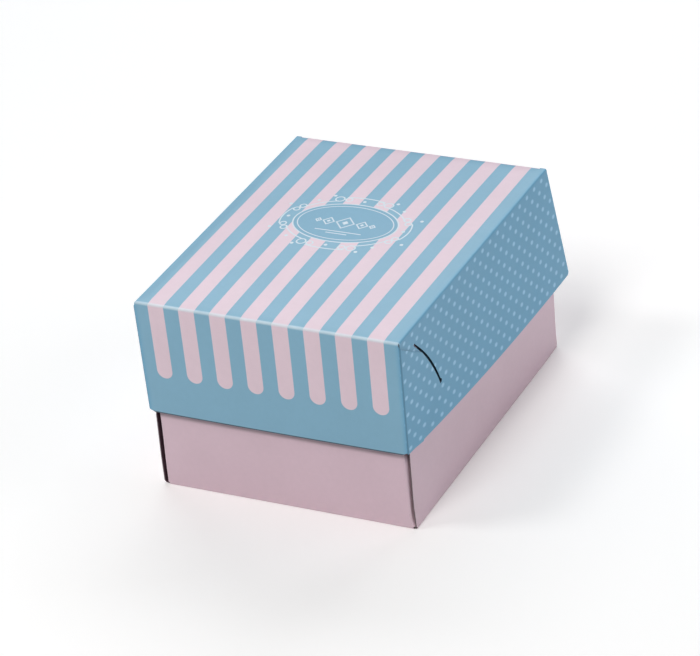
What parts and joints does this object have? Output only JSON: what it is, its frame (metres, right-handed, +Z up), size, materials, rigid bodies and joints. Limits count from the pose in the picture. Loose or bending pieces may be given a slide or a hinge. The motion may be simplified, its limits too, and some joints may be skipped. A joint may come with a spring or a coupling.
{
  "type": "dessert box",
  "caption": "Small folding pastry carton: a tray of thin coated board with a hinged lid whose skirt hangs over the front and sides, held at the corners by tucked ears",
  "frame": {"origin": "centre of the underside of the base, on the surface the box stands on", "axes": "+Z up, -Y towards the front of the lid, +X to the right of someone facing the front, and the hinge runs along X at the top of the back wall"},
  "size_m": [0.136, 0.154, 0.0915],
  "materials": {
    "pink_board": "thin coated board printed plain pink outside, unprinted off-white inside",
    "striped_board": "thin coated board printed with pink stripes on blue outside, unprinted off-white inside",
    "dotted_board": "thin coated board printed with small pink dots on blue outside, unprinted off-white inside"
  },
  "bodies": {
    "base": {"base_bottom": "pink_board", "base_front_wall": "pink_board", "base_back_wall": "pink_board", "base_left_wall": "pink_board", "base_right_wall": "pink_board", "base_front_left_flap": "pink_board", "base_front_right_flap": "pink_board", "base_back_left_flap": "pink_board", "base_back_right_flap": "pink_board", "hinge_crease": "pink_board"},
    "lid": {"lid_top": "striped_board", "lid_front": "striped_board", "lid_left_side": "dotted_board", "lid_right_side": "dotted_board", "lid_left_flap": "dotted_board", "lid_right_flap": "dotted_board"}
  },
  "joints": [
    {"name": "lid_hinge", "type": "hinge", "parent": "base", "child": "lid", "pos_m": [0, 0.0756, 0.0911], "axis": [-1, 0, 0], "range_deg": [0, 180]}
  ]
}
